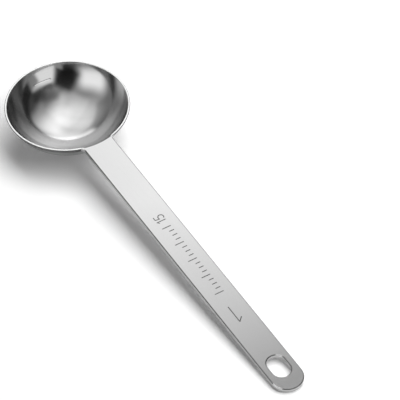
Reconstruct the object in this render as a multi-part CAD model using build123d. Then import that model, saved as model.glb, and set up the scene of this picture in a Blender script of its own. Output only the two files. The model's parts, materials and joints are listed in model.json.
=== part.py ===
from build123d import *
from math import asin, degrees, pi, sqrt
import os

# Long-handled 15 ml measuring spoon: a drawn sheet bowl, a strip handle let into its rim, and their weld.
# The origin is the middle of the small flat under the bowl, +X runs along the handle and +Z is up.

# Driving sizes of the bowl, in millimetres
mouth_radius = 23.1
bowl_depth = 15.55
bowl_wall = 0.85
foot_radius = 3.2
fill_mark_length = 7.2
fill_mark_width = 0.35
fill_mark_cut = 0.12

# Driving sizes of the handle
handle_reach = 138.0
handle_width = 12.1
handle_thickness = 1.8
slot_length = 10.3
slot_width = 7.1
slot_setback = 11.3
front_round = 1.0
edge_round = 0.3

# Driving sizes of the marks cut into the handle's top
small_height = 3.6
large_height = 8.0
stroke_width = 0.4
stroke_cut = 0.12
tick_pitch = 2.3
tick_count = 17

# Driving sizes of the weld between the bowl and the handle
weld_gap = 0.25
weld_corner = 1.3
weld_bead = 1.4

# How far every cutter runs past what it cuts
overrun = 2.0

# Places of the marks, as shares of the handle's reach beyond the bowl's mouth
number_place_share = 0.343
first_tick_share = 0.364
large_place_share = 0.684

# Strokes of the numerals, as shares of their height: across, then up
one_width_share = 0.22
one_shares = [(0.0, 0.78), (0.22, 1.0), (0.22, 0.0)]
five_top_shares = [(0.50, 1.0), (0.10, 1.0), (0.04, 0.52)]
five_belly_shares = [(0.04, 0.52), (0.52, 0.32), (0.0, 0.06)]
numeral_gap_share = 0.26

# The row of fine lines: the height of a short one as a share of a long one's, and how often a long one comes
short_tick_share = 0.55
long_tick_every = 4

# How deep the bead's hollow face lies, as a share of the way to its chord
bead_hollow_share = 0.35

cubic_mm_per_ml = 1000
halvings = 40

# Sizes worked out from the ones above
inner_sphere = (mouth_radius ** 2 + bowl_depth ** 2) / (2 * bowl_depth)
outer_sphere = inner_sphere + bowl_wall
sphere_height = sqrt(outer_sphere ** 2 - foot_radius ** 2)
rim_height = sphere_height - (inner_sphere - bowl_depth)
underside_height = rim_height - handle_thickness
tail_end = mouth_radius + handle_reach
slot_place = tail_end - slot_setback
capacity = pi * bowl_depth * (3 * mouth_radius ** 2 + bowl_depth ** 2) / 6


def wall_radius(sphere, height):
    """Radius, at a height, of a sphere about the bowl's centre."""
    return sqrt(sphere ** 2 - (sphere_height - height) ** 2)


def half_fill_height():
    """Height of the level that holds half of the bowl's capacity."""
    low = 0
    high = bowl_depth
    for _ in range(halvings):
        level = (low + high) / 2
        held = pi * level ** 2 * (3 * inner_sphere - level) / 3
        if held < capacity / 2:
            low = level
        else:
            high = level
    return sphere_height - inner_sphere + level


lip_radius = wall_radius(outer_sphere, rim_height)
fill_height = half_fill_height()


def ball(radius):
    """Ball about the centre of the bowl's spherical wall."""
    return Pos(0, 0, sphere_height) * Sphere(radius)


def notch():
    """Space in the bowl's rim for the handle's front end and the weld metal round it."""
    depth = handle_thickness + weld_gap
    length = 2 * lip_radius
    block = Box(length, handle_width + 2 * weld_gap, depth + overrun)
    return Pos(length / 2, 0, rim_height + (overrun - depth) / 2) * block


def fill_mark(turn):
    """Short groove inside the bowl at half its capacity, centred at a turn from the handle's axis."""
    radius = wall_radius(inner_sphere, fill_height)
    slope = (fill_height - sphere_height) / inner_sphere
    near = inner_sphere - overrun
    far = inner_sphere + fill_mark_cut
    middle = (near + far) / 2
    plate = Rectangle(far - near, fill_mark_width, rotation=degrees(asin(slope)))
    section = Plane.XZ * Pos(middle * radius / inner_sphere, sphere_height + middle * slope) * plate
    angle = degrees(fill_mark_length / radius)
    return Rot(0, 0, turn - angle / 2) * revolve(section, Axis.Z, angle)


def bowl():
    """Drawn spherical cup with a small pressed flat below, a rounded lip and a notch for the handle."""
    slab = Pos(0, 0, rim_height / 2) * Cylinder(outer_sphere, rim_height)
    cup = (ball(outer_sphere) & slab) - ball(inner_sphere)
    lip_edges = cup.edges().filter_by(GeomType.CIRCLE).group_by(Axis.Z)[-1]
    cup = fillet(lip_edges, edge_round)
    cup -= fill_mark(0)
    cup -= fill_mark(180)
    return cup - notch()


def strokes(shares, height):
    """Points of a stroke, from shares of the numeral's height."""
    return [(across * height, up * height) for across, up in shares]


def one(height):
    """Face of the numeral 1, its foot on the X axis."""
    return trace(Polyline(*strokes(one_shares, height)), stroke_width)


def five(height):
    """Face of the numeral 5, its foot on the X axis."""
    top = trace(Polyline(*strokes(five_top_shares, height)), stroke_width)
    return top + trace(ThreePointArc(*strokes(five_belly_shares, height)), stroke_width)


def place_along(share):
    """Distance from the bowl's axis of a mark at a share of the handle's reach."""
    return mouth_radius + share * handle_reach


def engraved(face, x, y, turn):
    """Cutter that sinks a flat figure into the handle's top."""
    cutter = extrude(face, stroke_cut + overrun)
    return Pos(x, y, rim_height - stroke_cut) * Rot(0, 0, turn) * cutter


def number_cutters():
    """Cutters for the capacity in small numerals near the bowl, and for one large numeral near the tail."""
    start = place_along(number_place_share)
    shift = (one_width_share + numeral_gap_share) * small_height
    width = one_width_share * large_height
    return [
        engraved(one(small_height), start, small_height / 2, 180),
        engraved(five(small_height), start - shift, small_height / 2, 180),
        engraved(one(large_height), place_along(large_place_share), width / 2, -90),
    ]


def tick_cutters():
    """Cutters for a row of fine lines along the handle's middle, with a long one at every few."""
    cutters = []
    for index in range(tick_count):
        height = small_height
        if index % long_tick_every:
            height = short_tick_share * small_height
        x = place_along(first_tick_share) + index * tick_pitch
        cutters.append(engraved(Rectangle(stroke_width, height), x, (small_height - height) / 2, 0))
    return cutters


def handle_outline():
    """Flat shape of the strip, from the bowl's axis to its round tail, with the hanging slot."""
    straight = tail_end - handle_width / 2
    outline = Pos(straight / 2, 0) * Rectangle(straight, handle_width)
    outline += Pos(straight, 0) * Circle(handle_width / 2)
    return outline - Pos(slot_place, 0) * SlotOverall(slot_length, slot_width)


def handle():
    """Strip with its front end cut to the bowl's inside, rounded edges and numerals cut into its top."""
    strip = Pos(0, 0, underside_height) * extrude(handle_outline(), handle_thickness)
    strip -= ball(inner_sphere)
    front = strip.edges().group_by(Axis.Z)[-1].sort_by(Axis.X)[0]
    strip = fillet(front, front_round)
    flat_edges = strip.edges().filter_by(Plane.XY)
    strip = fillet([edge for edge in flat_edges if edge.center().X > lip_radius], edge_round)
    for cutter in number_cutters() + tick_cutters():
        strip -= cutter
    return strip


def weld_corner_block():
    """Upright fillet of weld metal between the bowl's wall and the handle's side."""
    side = handle_width / 2
    reach = sqrt((lip_radius + weld_corner) ** 2 - (side + weld_corner) ** 2)
    middle = Vector(reach, side + weld_corner)
    on_lip = middle * (lip_radius / (lip_radius + weld_corner))
    on_side = Vector(reach, side)
    toward = (on_lip + on_side) / 2 - middle
    between = middle + toward.normalized() * weld_corner
    inner = Vector(on_lip.X - bowl_wall, side)
    lines = Line(inner, on_side) + ThreePointArc(on_side, between, on_lip) + Line(on_lip, inner)
    return Pos(0, 0, underside_height) * extrude(make_face(lines), handle_thickness)


def weld_bead_ring():
    """Bead of weld metal under the handle, turned along the bowl's wall."""
    lower = underside_height - weld_bead
    corner = Vector(wall_radius(outer_sphere, underside_height), underside_height)
    out = corner + Vector(weld_bead, 0)
    down = Vector(wall_radius(outer_sphere, lower), lower)
    hollowed = corner * (1 - bead_hollow_share) + (out + down) / 2 * bead_hollow_share
    sunk = Vector(bowl_wall / 2, 0)
    raised = Vector(0, weld_gap)
    lines = Line(corner - sunk + raised, out + raised) + Line(out + raised, out)
    lines += ThreePointArc(out, hollowed, down) + Line(down, down - sunk)
    lines += Line(down - sunk, corner - sunk + raised)
    half_angle = degrees(asin((handle_width / 2 + weld_gap) / corner.X))
    return Rot(0, 0, -half_angle) * revolve(Plane.XZ * make_face(lines), Axis.Z, 2 * half_angle)


def neck_weld(cup, strip):
    """Weld metal that fills the joint round the handle's front end, with its fillets outside."""
    under_rim = Pos(0, 0, rim_height / 2) * Cylinder(2 * lip_radius, rim_height)
    corner = weld_corner_block()
    metal = notch() & ball(outer_sphere) & under_rim
    metal += corner
    metal += mirror(corner, Plane.XZ)
    metal += weld_bead_ring()
    return metal - ball(inner_sphere) - strip - cup


cup = bowl()
strip = handle()
os.makedirs("parts", exist_ok=True)
export_step(cup, "parts/bowl.step")
export_step(strip, "parts/handle.step")
export_step(neck_weld(cup, strip), "parts/neck_weld.step")
print("capacity, ml:", round(capacity / cubic_mm_per_ml, 2), " half-fill level:", round(fill_height, 2))
print("rim height:", round(rim_height, 2), " lip radius:", round(lip_radius, 2), " tail end:", tail_end)
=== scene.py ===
"""A 15 ml measuring spoon of satin stainless steel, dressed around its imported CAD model.

The CAD's three nodes, bowl, handle and neck weld, are each replaced by a finer mesh of the same size.
All lengths are metres: the origin is under the bowl, +X runs along the handle and +Z is up.
"""

from __future__ import annotations

import json
import logging
import math
from abc import ABC, abstractmethod
from collections.abc import Sequence
from dataclasses import dataclass
from enum import Enum

import bmesh
import bpy
from mathutils import Matrix, Vector
from mathutils.geometry import delaunay_2d_cdt


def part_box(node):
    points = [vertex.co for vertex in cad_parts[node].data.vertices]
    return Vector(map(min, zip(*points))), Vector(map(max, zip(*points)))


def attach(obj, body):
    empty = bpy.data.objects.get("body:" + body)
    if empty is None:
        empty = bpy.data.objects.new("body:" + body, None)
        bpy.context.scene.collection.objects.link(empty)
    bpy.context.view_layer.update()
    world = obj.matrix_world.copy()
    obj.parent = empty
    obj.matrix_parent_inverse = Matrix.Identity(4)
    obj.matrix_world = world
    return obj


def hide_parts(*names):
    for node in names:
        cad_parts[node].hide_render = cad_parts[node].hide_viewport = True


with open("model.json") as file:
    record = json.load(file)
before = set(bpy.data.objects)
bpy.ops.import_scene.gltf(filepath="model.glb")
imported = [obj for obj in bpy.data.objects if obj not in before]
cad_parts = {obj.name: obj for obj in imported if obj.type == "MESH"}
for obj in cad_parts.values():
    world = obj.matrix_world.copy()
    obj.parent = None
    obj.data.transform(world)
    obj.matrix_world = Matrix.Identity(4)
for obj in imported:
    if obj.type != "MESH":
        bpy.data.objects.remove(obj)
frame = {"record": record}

log = logging.getLogger("measuring_spoon")

MM = 0.001
WELDED = 1e-7
FILL_CLOSENESS = 1e-6
FILL_INSIDE = 1
CREASE = math.radians(38)
MITRE_TURN = math.radians(70)
QUARTER_TURN = 90.0
CARD_CORNERS = ((-1, -1), (1, -1), (1, 1), (-1, 1))
MIX_FIRST, MIX_SECOND = 6, 7
MIX_RESULT = 2

Point2 = tuple[float, float]
Point3 = tuple[float, float, float]
Vert = bmesh.types.BMVert
Row = Sequence[Vert]
Inputs = dict[str | int, object]


class Grain(Enum):
    """Which way the last polish ran over a surface."""

    ALONG = "along the handle"
    ROUND = "round the bowl's axis"


class Coat(Enum):
    """Which of a piece's finishes a face has, by its place in the list of materials. MARK is the handle's
    etching, but a painted highlight on the bowl and the weld; EDGE and WALL are darker copies of the steel,
    painted shade; SHINE is a painted highlight.
    """

    MAIN = 0
    MARK = 1
    EDGE = 2
    WALL = 3
    SHINE = 4


class Body(Enum):
    """The CAD bodies that pieces ride on."""

    SPOON = "root"


# Geometry helpers


def spread(start: float, end: float, count: int) -> list[float]:
    """Even steps from one value to another.

    Args:
        start: The first value.
        end: The last value.
        count: How many steps lie between them.

    Returns:
        The values, one more than the steps.
    """
    return [start + (end - start) * step / count for step in range(count + 1)]


def between(first: float, second: float, share: float) -> float:
    """Value at a share of the way from one to another."""
    return first + (second - first) * share


def grey(level: float) -> tuple[float, float, float, float]:
    """Plain grey, as a colour."""
    return (level, level, level, 1.0)


def eased(share: float) -> float:
    """Share that starts and ends gently."""
    return share * share * (3 - 2 * share)


def turned(middle: float, section: Sequence[Point2], angles: Sequence[float]) -> list[list[Point3]]:
    """Turns a section about an upright axis in the handle's middle plane.

    Args:
        middle: The axis's place along X.
        section: Points as distance from the axis and height.
        angles: The angles from +X at which the section is placed.

    Returns:
        The section's points at each angle.
    """
    return [
        [(middle + away * math.cos(angle), away * math.sin(angle), height) for away, height in section]
        for angle in angles
    ]


def to_object(mesh: bmesh.types.BMesh, name: str) -> bpy.types.Object:
    """Puts a mesh into the scene.

    Args:
        mesh: The mesh under construction, which is freed.
        name: The object's name.

    Returns:
        The object.
    """
    data = bpy.data.meshes.new(name)
    mesh.to_mesh(data)
    mesh.free()
    made = bpy.data.objects.new(name, data)
    bpy.context.scene.collection.objects.link(made)
    return made


@dataclass(frozen=True)
class SpoonSizes:
    """Sizes that the pieces share, from the CAD's own boxes and a few driving lengths.

    Attributes:
        rim: Height of the lip's and the handle's top.
        underside: Height of the handle's underside.
        half_width: Half of the handle's width.
        tail_end: Distance from the bowl's axis to the handle's far end.
        slot_place: Distance from the bowl's axis to the slot's middle.
        mouth_radius: Radius of the bowl's inside at the rim's plane.
        bowl_depth: Depth of the bowl's inside below the rim.
        wall: Thickness of the bowl's sheet.
        foot_radius: Radius of the small flat under the bowl.
        edge_round: Radius of the lip's and the handle's rounded edges.
        front_round: Radius of the handle's rounded front edge, inside the bowl.
        weld_corner: Radius, seen from above, of the fillets between lip and handle.
    """

    rim: float
    underside: float
    half_width: float
    tail_end: float
    slot_place: float
    mouth_radius: float = 23.1 * MM
    bowl_depth: float = 15.55 * MM
    wall: float = 0.85 * MM
    foot_radius: float = 3.2 * MM
    edge_round: float = 0.3 * MM
    front_round: float = 1.0 * MM
    weld_corner: float = 1.3 * MM

    @classmethod
    def from_frame(cls) -> SpoonSizes:
        """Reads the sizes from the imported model.

        Returns:
            The sizes.
        """
        low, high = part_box("handle")
        mounts = {mount["name"]: mount for mount in frame["record"]["mounts"]}
        slot = mounts["hanging_slot"]["pos_m"][0]
        return cls(rim=high.z, underside=low.z, half_width=high.y, tail_end=high.x, slot_place=slot)

    @property
    def inner_sphere(self) -> float:
        """Radius of the sphere that the bowl's inside lies on."""
        return (self.mouth_radius**2 + self.bowl_depth**2) / (2 * self.bowl_depth)

    @property
    def outer_sphere(self) -> float:
        """Radius of the sphere that the bowl's outside lies on."""
        return self.inner_sphere + self.wall

    @property
    def centre(self) -> float:
        """Height of both spheres' centre."""
        return self.rim - self.bowl_depth + self.inner_sphere

    @property
    def lip_reach(self) -> float:
        """Largest radius of the rounded lip.

        Returns:
            The radius.
        """
        reach = self.outer_sphere - self.edge_round
        drop = self.centre - self.rim + self.edge_round
        return math.sqrt(reach**2 - drop**2) + self.edge_round

    @property
    def neck_half(self) -> float:
        """Half of the handle's flat width, between its rounded edges."""
        return self.half_width - self.edge_round

    @property
    def fillet_middle(self) -> Point2:
        """Middle of the fillet between lip and handle, on the +Y side, seen from above.

        Returns:
            Its place along X and along Y.
        """
        side = self.half_width + self.weld_corner
        reach = math.sqrt((self.lip_reach + self.weld_corner) ** 2 - side**2)
        return (reach, side)

    @property
    def seam_angle(self) -> float:
        """Angle about the bowl's axis at which the lip meets that fillet."""
        reach, side = self.fillet_middle
        return math.atan2(side, reach)

    @property
    def floor_place(self) -> Matrix:
        """Place of the floor, on which the spoon rests with its foot's edge and its tail.

        Returns:
            The place, turned about the foot's edge.
        """
        run = self.tail_end - self.edge_round - self.foot_radius
        tilt = Matrix.Rotation(-math.atan2(self.underside, run), 4, "Y")
        return Matrix.Translation((self.foot_radius, 0.0, 0.0)) @ tilt

    def radius_at(self, sphere: float, height: float) -> float:
        """Radius, at a height, of a sphere about the bowl's centre."""
        return math.sqrt(sphere**2 - (self.centre - height) ** 2)

    def on_sphere(self, sphere: float, angle: float) -> Point2:
        """Radius and height of a sphere's point at an angle from straight down."""
        return (sphere * math.sin(angle), self.centre - sphere * math.cos(angle))

    def angle_at(self, sphere: float, height: float) -> float:
        """Angle from straight down at which a sphere reaches a height."""
        return math.acos((self.centre - height) / sphere)


def rounding(middle: Point2, radius: float, start: float, end: float, steps: int) -> list[Point2]:
    """Points of an arc in a section.

    Args:
        middle: Middle of the arc, across and up.
        radius: Its radius.
        start: Its first angle from +across, in radians.
        end: Its last angle.
        steps: How many steps it takes.

    Returns:
        The arc's points.
    """
    return [
        (middle[0] + radius * math.cos(angle), middle[1] + radius * math.sin(angle))
        for angle in spread(start, end, steps)
    ]


def encloses(loop: Row, point: Vector) -> bool:
    """Whether a closed run of vertices goes round a point, seen from above.

    Args:
        loop: The run of vertices.
        point: The point.

    Returns:
        True if the point is inside.
    """
    inside = False
    for first, second in zip(loop, [*loop[1:], loop[0]]):
        low, high = first.co, second.co
        if (low.y > point.y) != (high.y > point.y):
            crossing = low.x + (point.y - low.y) / (high.y - low.y) * (high.x - low.x)
            inside ^= point.x < crossing
    return inside


@dataclass(frozen=True)
class Sections:
    """The sections of lip, front edge and handle's side that neighbouring pieces share.

    Attributes:
        sizes: The spoon's sizes.
        wall_steps: Steps down a wall, from a rounding to the handle's underside.
        round_steps: Steps round a rounding.
    """

    sizes: SpoonSizes
    wall_steps: int = 6
    round_steps: int = 7

    def inner_edge(self, radius: float) -> list[Point2]:
        """Section from the inside of the bowl, at the handle's underside, up to the flat top.

        Args:
            radius: Radius of the rounding where the inside meets the top.

        Returns:
            Points as distance from the bowl's axis and height.
        """
        s = self.sizes
        reach = s.inner_sphere + radius
        drop = s.centre - s.rim + radius
        middle = (math.sqrt(reach**2 - drop**2), s.rim - radius)
        touch = math.acos(drop / reach)
        start = s.angle_at(s.inner_sphere, s.underside)
        wall = [s.on_sphere(s.inner_sphere, angle) for angle in spread(start, touch, self.wall_steps)]
        facing = math.atan2(drop, -middle[0])
        return wall[:-1] + rounding(middle, radius, facing, math.pi / 2, self.round_steps)

    def lip_outside(self) -> list[Point2]:
        """Section from the lip's flat top over its outer rounding and down to the handle's underside.

        Returns:
            Points as distance from the bowl's axis and height.
        """
        s = self.sizes
        reach = s.outer_sphere - s.edge_round
        drop = s.centre - s.rim + s.edge_round
        middle = (math.sqrt(reach**2 - drop**2), s.rim - s.edge_round)
        facing = math.atan2(-drop, middle[0])
        touch = math.acos(drop / reach)
        end = s.angle_at(s.outer_sphere, s.underside)
        wall = [s.on_sphere(s.outer_sphere, angle) for angle in spread(touch, end, self.wall_steps)]
        return rounding(middle, s.edge_round, math.pi / 2, facing, self.round_steps) + wall[1:]

    def side_outside(self) -> list[Point2]:
        """Section over the handle's upper edge and down its side, for the weld beside it.

        Returns:
            Points as inset from the side and height.
        """
        s = self.sizes
        middle = (s.edge_round, s.rim - s.edge_round)
        over = rounding(middle, s.edge_round, math.pi / 2, math.pi, self.round_steps)
        heights = spread(s.rim - s.edge_round, s.underside, self.wall_steps)
        return over + [(0.0, height) for height in heights[1:]]

    def strip_edge(self) -> list[Point2]:
        """Section over both rounded edges of the handle's side, from flat top to flat underside.

        Returns:
            Points as inset from the side and height.
        """
        s = self.sizes
        upper = (s.edge_round, s.rim - s.edge_round)
        lower = (s.edge_round, s.underside + s.edge_round)
        over = rounding(upper, s.edge_round, math.pi / 2, math.pi, self.round_steps)
        return over + rounding(lower, s.edge_round, math.pi, 3 * math.pi / 2, self.round_steps)


class Skin:
    """Mesh under construction, grown from rows of points."""

    def __init__(self) -> None:
        """Starts with no points, and with the piece's first finish."""
        self.mesh = bmesh.new()
        self.coat = Coat.MAIN

    def row(self, points: Sequence[Point3]) -> list[Vert]:
        """Adds one row of points.

        Args:
            points: The row's points.

        Returns:
            Their vertices, in the same order.
        """
        return [self.mesh.verts.new(point) for point in points]

    def face(self, corners: Row) -> None:
        """Adds one face, unless its corners fall together.

        Args:
            corners: The corners' vertices, in order.
        """
        pairs = zip(corners, [corners[-1], *corners])
        apart = [corner for corner, before in pairs if corner is not before]
        if len(apart) > 2 and self.mesh.faces.get(apart) is None:
            self.mesh.faces.new(apart).material_index = self.coat.value

    def join(self, first: Row, second: Row, closed: bool = False) -> None:
        """Joins two rows of the same length with quads.

        Args:
            first: One row.
            second: The next row.
            closed: Whether the rows run all the way round.
        """
        count = len(first) if closed else len(first) - 1
        for index in range(count):
            after = (index + 1) % len(first)
            self.face([first[index], first[after], second[after], second[index]])

    def grid(self, rows: Sequence[Row], closed: bool = False) -> None:
        """Joins each row to the next one."""
        for first, second in zip(rows, rows[1:]):
            self.join(first, second, closed)

    def fan(self, row: Row, tip: Point3) -> None:
        """Joins a row that runs all the way round to one point.

        Args:
            row: The row's vertices.
            tip: The point.
        """
        (point,) = self.row([tip])
        for first, second in zip(row, [*row[1:], row[0]]):
            self.face([first, second, point])

    def fill(self, outline: Row, holes: Sequence[Row]) -> None:
        """Fills a flat outline, but for its holes.

        Args:
            outline: The outline, as a closed run of vertices.
            holes: Its holes, each as a closed run of vertices.
        """
        corners: list[Vert] = []
        edges: list[tuple[int, int]] = []
        for loop in (outline, *holes):
            first = len(corners)
            edges += [(first + i, first + (i + 1) % len(loop)) for i in range(len(loop))]
            corners += loop
        flat = [Vector((corner.co.x, corner.co.y)) / MM for corner in corners]
        made = delaunay_2d_cdt(flat, edges, [], FILL_INSIDE, FILL_CLOSENESS)
        sources = [corners[origin[0]] for origin in made[3]]
        for triangle in made[2]:
            chosen = [sources[index] for index in triangle]
            middle = sum((corner.co for corner in chosen), Vector()) / 3
            if not any(encloses(hole, middle) for hole in holes):
                self.face(chosen)

    def weld(self) -> None:
        """Joins points that fall together."""
        bmesh.ops.remove_doubles(self.mesh, verts=self.mesh.verts, dist=WELDED)

    def mirrored(self) -> None:
        """Adds a copy of everything on the other side of the handle's middle plane."""
        copy = bmesh.ops.duplicate(self.mesh, geom=[*self.mesh.verts, *self.mesh.edges, *self.mesh.faces])
        for item in copy["geom"]:
            if isinstance(item, Vert):
                item.co.y = -item.co.y

    def finish(self, name: str) -> bpy.types.Object:
        """Makes the object, smooth but for its sharp edges.

        Args:
            name: The piece's name.

        Returns:
            The object, in the scene.
        """
        bmesh.ops.recalc_face_normals(self.mesh, faces=self.mesh.faces)
        for face in self.mesh.faces:
            face.smooth = True
        for edge in self.mesh.edges:
            edge.smooth = len(edge.link_faces) == 2 and edge.calc_face_angle(0) < CREASE
        piece = to_object(self.mesh, name)
        weighted = piece.modifiers.new("weighted_normals", "WEIGHTED_NORMAL")
        weighted.mode = "FACE_AREA"
        weighted.keep_sharp = True
        return piece


@dataclass(frozen=True)
class Groove:
    """One engraved stroke: a round-bottomed groove along a path in the handle's top.

    Attributes:
        path: The stroke's middle line, in the row frame seen from above.
        width: Its width.
        depth: Its depth.
        sides: Places across the stroke, as shares of its width from the middle.
        depths: Depth at each of those places, as a share of the full depth.
        turn_steps: Steps of the rounded outside of a sharp turn.
        mitre_limit: Least share of the half width that a mitre is divided by.
    """

    path: tuple[Point2, ...]
    width: float
    depth: float
    sides: tuple[float, ...] = (-0.5, -0.36, -0.16, 0.16, 0.36, 0.5)
    depths: tuple[float, ...] = (0.0, 0.55, 1.0, 1.0, 0.55, 0.0)
    turn_steps: int = 5
    mitre_limit: float = 0.3

    def sections(self) -> list[tuple[Vector, Vector]]:
        """Places the sections along the path, and fans them round its sharp turns.

        Returns:
            The right-hand and the left-hand end of each section.
        """
        points = [Vector(point) for point in self.path]
        ways = [(after - before).normalized() for before, after in zip(points, points[1:])]
        half = self.width / 2
        found = []
        for index, point in enumerate(points):
            before = ways[max(index - 1, 0)]
            after = ways[min(index, len(ways) - 1)]
            left_before = Vector((-before.y, before.x))
            left_after = Vector((-after.y, after.x))
            turn = before.angle_signed(after, 0.0) if index not in (0, len(points) - 1) else 0.0
            mitre = (left_before + left_after).normalized()
            mitre *= half / max(mitre.dot(left_before), self.mitre_limit)
            if abs(turn) < MITRE_TURN:
                found.append((point - mitre, point + mitre))
                continue
            clockwise = turn > 0
            for share in spread(0, 1, self.turn_steps):
                fanned = left_before.lerp(left_after, share).normalized() * half
                if clockwise:
                    found.append((point - mitre, point + fanned))
                else:
                    found.append((point - fanned, point + mitre))
        return found

    def cut(self, skin: Skin, top: float) -> list[Vert]:
        """Adds the groove's surface.

        Args:
            skin: The mesh that it is cut into.
            top: Height of the surface that it is cut into.

        Returns:
            The groove's outline in that surface, as a closed run of vertices.
        """
        rows = []
        skin.coat = Coat.MARK
        for right, left in self.sections():
            points = []
            for side, depth in zip(self.sides, self.depths):
                place = right.lerp(left, side + 0.5)
                points.append((place.x, place.y, top - depth * self.depth))
            rows.append(skin.row(points))
        skin.grid(rows)
        skin.face(rows[0])
        skin.face(rows[-1])
        skin.coat = Coat.MAIN
        return [row[0] for row in rows] + [row[-1] for row in reversed(rows)]


# Shader maths


class Wire:
    """One output of a shader node. Python's operators on it add Math nodes."""

    def __init__(self, sketch: Sketch, socket: bpy.types.NodeSocket) -> None:
        """Keeps the socket and the sketch that it belongs to.

        Args:
            sketch: The shader being drawn.
            socket: The output socket.
        """
        self.sketch = sketch
        self.socket = socket

    def absolute(self) -> Wire:
        """Value without its sign."""
        return self.maths("ABSOLUTE", self)

    def larger(self, other: Wire | float) -> Wire:
        """Larger of this value and another."""
        return self.maths("MAXIMUM", self, other)

    def smaller(self, other: Wire | float) -> Wire:
        """Smaller of this value and another."""
        return self.maths("MINIMUM", self, other)

    def root(self) -> Wire:
        """Square root."""
        return self.maths("SQRT", self)

    def maths(self, operation: str, *values: Wire | float) -> Wire:
        """Result of a Math node.

        Args:
            operation: The node's operation.
            values: Its inputs, in order.

        Returns:
            The node's output.
        """
        return self.sketch.add("ShaderNodeMath", {"operation": operation}, dict(enumerate(values)))

    def __add__(self, other: Wire | float) -> Wire:
        """Sum."""
        return self.maths("ADD", self, other)

    def __radd__(self, other: float) -> Wire:
        """Sum, with the number first."""
        return self.maths("ADD", other, self)

    def __sub__(self, other: Wire | float) -> Wire:
        """Difference."""
        return self.maths("SUBTRACT", self, other)

    def __rsub__(self, other: float) -> Wire:
        """Difference, with the number first."""
        return self.maths("SUBTRACT", other, self)

    def __mul__(self, other: Wire | float) -> Wire:
        """Product."""
        return self.maths("MULTIPLY", self, other)

    def __rmul__(self, other: float) -> Wire:
        """Product, with the number first."""
        return self.maths("MULTIPLY", other, self)

    def __truediv__(self, other: Wire | float) -> Wire:
        """Quotient."""
        return self.maths("DIVIDE", self, other)

    def __rtruediv__(self, other: float) -> Wire:
        """Quotient, with the number first."""
        return self.maths("DIVIDE", other, self)

    def step(self, low: float, high: float) -> Wire:
        """Smooth step from 0 at one value to 1 at another."""
        span = {"Value": self, "From Min": low, "From Max": high}
        return self.sketch.add("ShaderNodeMapRange", {"interpolation_type": "SMOOTHSTEP"}, span)

    def near_zero(self, start: float, end: float) -> Wire:
        """Smooth share, from 1 where the value is less than one size off 0, to 0 beyond another."""
        return 1 - self.absolute().step(start, end)


class Sketch:
    """A shader being drawn in one node tree."""

    def __init__(self, tree: bpy.types.NodeTree) -> None:
        """Empties the tree.

        Args:
            tree: The node tree of a material or the world.
        """
        tree.nodes.clear()
        self.tree = tree

    def node(self, kind: str, settings: dict[str, object], inputs: Inputs) -> bpy.types.Node:
        """Adds a node: its settings first, then the values and links of its inputs.

        Args:
            kind: Blender's type of the node.
            settings: The node's own settings.
            inputs: Values or wires, by the input's name or number.

        Returns:
            The node.
        """
        node = self.tree.nodes.new(kind)
        for name, value in settings.items():
            setattr(node, name, value)
        for name, value in inputs.items():
            if isinstance(value, Wire):
                self.tree.links.new(value.socket, node.inputs[name])
            else:
                node.inputs[name].default_value = value
        return node

    def add(
        self,
        kind: str,
        settings: dict[str, object] | None = None,
        inputs: Inputs | None = None,
        output: str | int = 0,
    ) -> Wire:
        """Adds a node and returns one of its outputs.

        Args:
            kind: Blender's type of the node.
            settings: The node's own settings.
            inputs: Values or wires, by the input's name or number.
            output: Name or number of the output.

        Returns:
            That output.
        """
        node = self.node(kind, settings or {}, inputs or {})
        return Wire(self, node.outputs[output])

    def vector(self, operation: str, first: object, second: object = None, output: int = 0) -> Wire:
        """Result of a Vector Math node.

        Args:
            operation: The node's operation.
            first: Its first input.
            second: Its second input, if it has one.
            output: Number of the output, 1 for a length or a dot product.

        Returns:
            That output.
        """
        inputs = {0: first} if second is None else {0: first, 1: second}
        return self.add("ShaderNodeVectorMath", {"operation": operation}, inputs, output)

    def noise(self, place: Wire, scale: float, detail: float) -> Wire:
        """Noise of a scale, between 0 and 1, at a place.

        Args:
            place: Where the noise is read.
            scale: How fine it is.
            detail: How many finer layers it has.

        Returns:
            The noise's value.
        """
        return self.add("ShaderNodeTexNoise", {}, {"Vector": place, "Scale": scale, "Detail": detail})

    def blend(self, share: Wire | float, first: object, second: object) -> Wire:
        """Mix of two colours.

        Args:
            share: How much of the second one there is.
            first: The first colour.
            second: The second colour.

        Returns:
            The mixed colour.
        """
        inputs = {"Factor": share, MIX_FIRST: first, MIX_SECOND: second}
        return self.add("ShaderNodeMix", {"data_type": "RGBA"}, inputs, MIX_RESULT)

    def matt(self, tone: float, glow: object) -> Wire:
        """Shader of a matt grey surface that also gives off light.

        Args:
            tone: The surface's tone.
            glow: The colour of its light.

        Returns:
            The shader.
        """
        plain = {"Base Color": grey(tone), "Roughness": 1.0, "Specular IOR Level": 0.0}
        light = {"Emission Color": glow, "Emission Strength": 1.0}
        return self.add("ShaderNodeBsdfPrincipled", {}, {**plain, **light})

    def surface(self, shader: Wire) -> None:
        """Ends the drawing with the shader of the material's surface."""
        self.node("ShaderNodeOutputMaterial", {}, {"Surface": shader})


def start_material(name: str) -> tuple[bpy.types.Material, Sketch]:
    """Starts a material.

    Args:
        name: Its name.

    Returns:
        The material and the sketch of its shader, still empty.
    """
    material = bpy.data.materials.new(name)
    material.use_nodes = True
    return material, Sketch(material.node_tree)


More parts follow.
